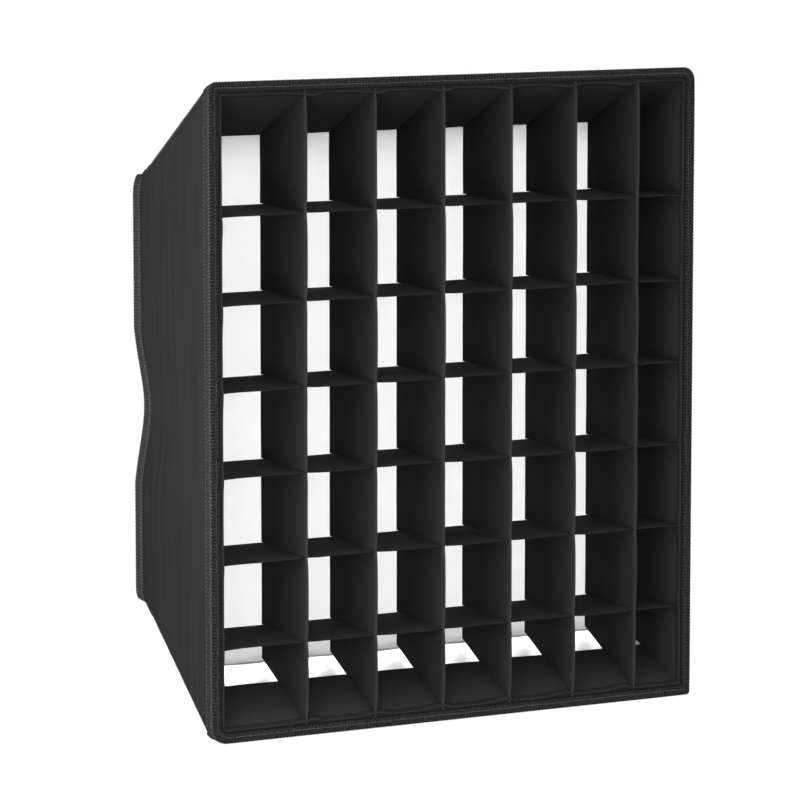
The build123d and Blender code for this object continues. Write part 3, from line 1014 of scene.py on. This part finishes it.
def divider_cloth(name, node, points, slotted, depths, hem_thickness, painted_front_light, edge_highlight):
    """Divider with a doubled hem along its front edge and slots where it crosses the others.

    The last two say how much lighter the cloth is painted towards the front, as painted shade deeper in the
    cells, and how strong a painted highlight runs along its front edge.
    """
    hem = smooth((depths[0] + DIVIDER_HEM - depths) / (0.8 * MM))
    rounding = np.clip((depths - depths[0]) / (0.8 * MM) + 0.35, 0, 1)
    thickness = (DIVIDER * 0.8 + hem_thickness * hem) * rounding
    # painted shade: the cloth is painted darker the further back it lies in a cell
    painted_light_ramp = 1 - (depths - depths[0]) / (depths[-1] - depths[0])
    # painted highlight along the front edge and its hem
    painted_light_and_wear = edge_highlight * (np.exp(-((depths - depths[0]) / (1.6 * MM)) ** 2) + 0.6 * hem) + painted_front_light * painted_light_ramp
    painted_light_and_wear = np.tile(np.clip(painted_light_and_wear, 0, 1), (len(points), 1))
    keep = np.ones((points.shape[0] - 1, points.shape[1] - 1), bool)
    gaps = np.arange(1, len(column_places) + 1) * len(INTERVAL_STOPS) - 1
    keep[np.ix_(gaps, slotted)] = False
    piece = cloth(name, points, thickness, 0.0, painted_light_and_wear, keep=keep)
    sew_in(piece, "grid_cloth", node)


def vertical_divider(number):
    """Upright divider, slotted from the rear."""
    node = f"grid_vertical_divider_{number}"
    low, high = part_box(node)
    y = divider_depths(low, high, 0.0)
    reach = half_height(y) - border_inner
    z, bulge = divider_surface(reach, sorted(row_places), y, lean=1.2 * MM, dent_side=-1)
    points = np.stack([column_places[number - 1] + bulge, np.broadcast_to(y, z.shape), z], 2)
    slotted = y[1:] > (low.y + high.y) / 2 + 0.1 * MM
    divider_cloth(f"upright_divider_{number}", node, points, slotted, y, 0.7 * MM, painted_front_light=0.45, edge_highlight=0.25)


def level_divider(number):
    """Level divider, slotted from the front."""
    node = f"grid_level_divider_{number}"
    low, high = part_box(node)
    y = divider_depths(low, high, 1.2 * MM)
    reach = half_width(y) - border_inner
    x, bulge = divider_surface(reach, sorted(column_places), y, lean=0.8 * MM, dent_side=1)
    points = np.stack([x, np.broadcast_to(y, x.shape), row_places[number - 1] + bulge], 2)
    slotted = y[1:] < (low.y + high.y) / 2 + 0.1 * MM
    divider_cloth(f"cross_divider_{number}", node, points, slotted, y, 0.1 * MM, painted_front_light=0.05, edge_highlight=0.0)


# ======== diffuser
def diffuser(lit_by_glow):
    """White cloth stretched across the shell, with faint tension waves from its corners."""
    low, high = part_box("diffuser_sheet")
    x, z = np.meshgrid(np.linspace(-1, 1, 71) * high.x, np.linspace(-1, 1, 81) * high.z, indexing="ij")
    edge = np.minimum(high.x - abs(x), high.z - abs(z))
    near_edge = np.exp(-edge / (40 * MM)) * smooth(edge / (8 * MM))
    y = (low.y + high.y) / 2 + 0.5 * MM * np.sin((abs(x) - abs(z)) * 160) * near_edge
    piece = cloth("diffusion_cloth", np.stack([x, y, z], 2), 0.5 * MM)
    sew_in(piece, "diffuser_cloth", "diffuser_sheet")
    piece.visible_diffuse = False
    lit_by_glow.objects.link(piece)


def diffuser_hem():
    """Turned-back white hem along the walls."""
    low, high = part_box("diffuser_hem")
    y = np.linspace(low.y, high.y, 10)
    offset = outer_offset("diffuser_hem") + CLOTH / 2 + 0.1 * MM * np.sin(np.arange(10) * 2.0)
    piece = all_round("diffuser_turned_hem", y, offset, CLOTH * 0.8)
    sew_in(piece, "diffuser_hem_tape", "diffuser_hem")


# ======== lamp straps
def strap_droop(corner, y):
    """How far a strap hangs down at a depth, more and more towards its free end."""
    low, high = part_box(f"{corner}_strap")
    return STRAP_DROOP * ((y - low.y) / (high.y - low.y)) ** 2


def strap(corner):
    """Free webbing strap, its lamp side ribbed with firm edges, drooping slightly at its end."""
    node = f"{corner}_strap"
    low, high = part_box(node)
    rows = ROWS_PER_RIB * round((high.y - low.y) / (1.5 * MM))
    across = np.array([-1, -0.97, -0.9, -0.82, -0.74, -0.4, 0, 0.4, 0.74, 0.82, 0.9, 0.97, 1])
    y = np.linspace(low.y, high.y, rows)[:, None] * np.ones(len(across))
    x = (low.x + high.x) / 2 + across * (high.x - low.x) / 2 * np.ones_like(y)
    z = (low.z + high.z) / 2 - strap_droop(corner, y)
    relief = 0.14 * MM * ribs(rows)[:, None] * (abs(across) < 0.8)
    edge = np.where((abs(across) > 0.85) & (abs(across) < 0.98), 0.15 * MM, 0.0)
    # painted shade in the rib grooves, lighter crests, and lighter firm edges
    painted_light_and_wear = 0.5 * ribs(rows)[:, None] + 0.5 * (abs(across) > 0.85)
    points = np.stack([x, y, z], 2)
    points = points if "upper" in corner else points[:, ::-1]
    piece = cloth(f"{corner}_webbing", points, WEBBING - 0.2 * MM, relief + edge, painted_light_and_wear)
    sew_in(piece, "strap_webbing", node)


def strap_patch(corner):
    """Hook patch sewn to the lamp side of a strap."""
    node = f"{corner}_strap_hook_patch"
    low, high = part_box(node)
    x = np.linspace(low.x + 1 * MM, high.x - 1 * MM, 14)
    y = np.linspace(low.y + 1 * MM, high.y - 1 * MM, 16)
    y, x = np.meshgrid(y, x, indexing="ij")
    z = (low.z + high.z) / 2 - strap_droop(corner, y)
    rim = np.ones_like(x)
    rim[1:-1, 1:-1] = 0
    piece = cloth(f"{corner}_hook_patch", np.stack([x, y, z], 2), CLOSURE_TAPE * (0.85 - 0.35 * rim))
    sew_in(piece, "hook_tape", node)


def strap_anchor(corner):
    """Folded webbing end sewn over the rear binding."""
    node = f"{corner}_strap_base"
    side = "top" if "upper" in corner else "bottom"
    low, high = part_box(node)
    count = 4 * round((high.x - low.x) / (1.6 * MM))
    x = np.linspace(low.x, high.x, count)
    y = np.linspace(low.y, high.y, 12)
    v = x[:, None] / (half_width(y) + TAPE) * ALONG[side][0]
    points = wall_points(side, v, y, -TAPE - WEBBING / 2)
    points = points if side == "top" else points[:, ::-1]
    piece = cloth(f"{corner}_strap_anchor", points, WEBBING * 0.9, 0.1 * MM)
    sew_in(piece, "strap_webbing", node)
    anchor_stitches(corner, side, node)


def anchor_stitches(corner, side, node):
    """Box of stitches with one diagonal, on a strap's sewn end."""
    low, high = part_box(node)
    left, right = low.x + 3 * MM, high.x - 3 * MM
    front, rear = low.y + 2 * MM, high.y - 2 * MM
    box = [(left, front), (right, front), (right, rear), (left, rear), (left, front), (right, rear)]
    path = np.concatenate([np.linspace(a, b, 12, endpoint=False) for a, b in zip(box, box[1:])])
    v = path[:, 0] / half_width(path[:, 1]) * ALONG[side][0]
    sewn = wall_points(side, v, path[:, 1], -TAPE - WEBBING)
    stitches(f"{corner}_anchor_stitches", side, sewn, ANCHOR_STITCH, node)


# ======== build
def finish_cad_nodes():
    """Materials for the CAD nodes that show as they are."""
    looks = {"lamp_seat_ring": "seat_ring", "hem_rods": "fibreglass_rod"}
    looks.update({f"{side}_board": "stiffener_board" for side in SIDES})
    for node, material in looks.items():
        mesh = frame["nodes"][node].data
        mesh.materials.clear()
        mesh.materials.append(materials[material])


add_camera()
bpy.context.scene.view_settings.view_transform = "Standard"
make_materials()
add_studio()
add_soft_light("key", KEY_PLACE, KEY_TARGET, KEY_SIZE, KEY_POWER)
diffuser_light, lining_light = add_lamp_glow()
add_floor()
finish_cad_nodes()
for side in SIDES:
    shell_wall(side)
    shell_lining(side, lining_light)
    rear_binding(side)
    grid_border(side)
front_binding()
grid_hem()
closure("grid_loop_tape", "grid_loop_strip", "loop_tape")
closure("grid_hook_tape", "grid_hook_strip", "hook_tape")
closure("diffuser_loop_tape", "diffuser_loop_strip", "loop_tape")
closure("diffuser_hook_tape", "diffuser_hook_strip", "hook_tape")
for number in range(1, 7):
    vertical_divider(number)
    level_divider(number)
diffuser(diffuser_light)
diffuser_hem()
for corner in ("upper_left", "upper_right", "lower_left", "lower_right"):
    strap(corner)
    strap_patch(corner)
    strap_anchor(corner)
seam_stitches()
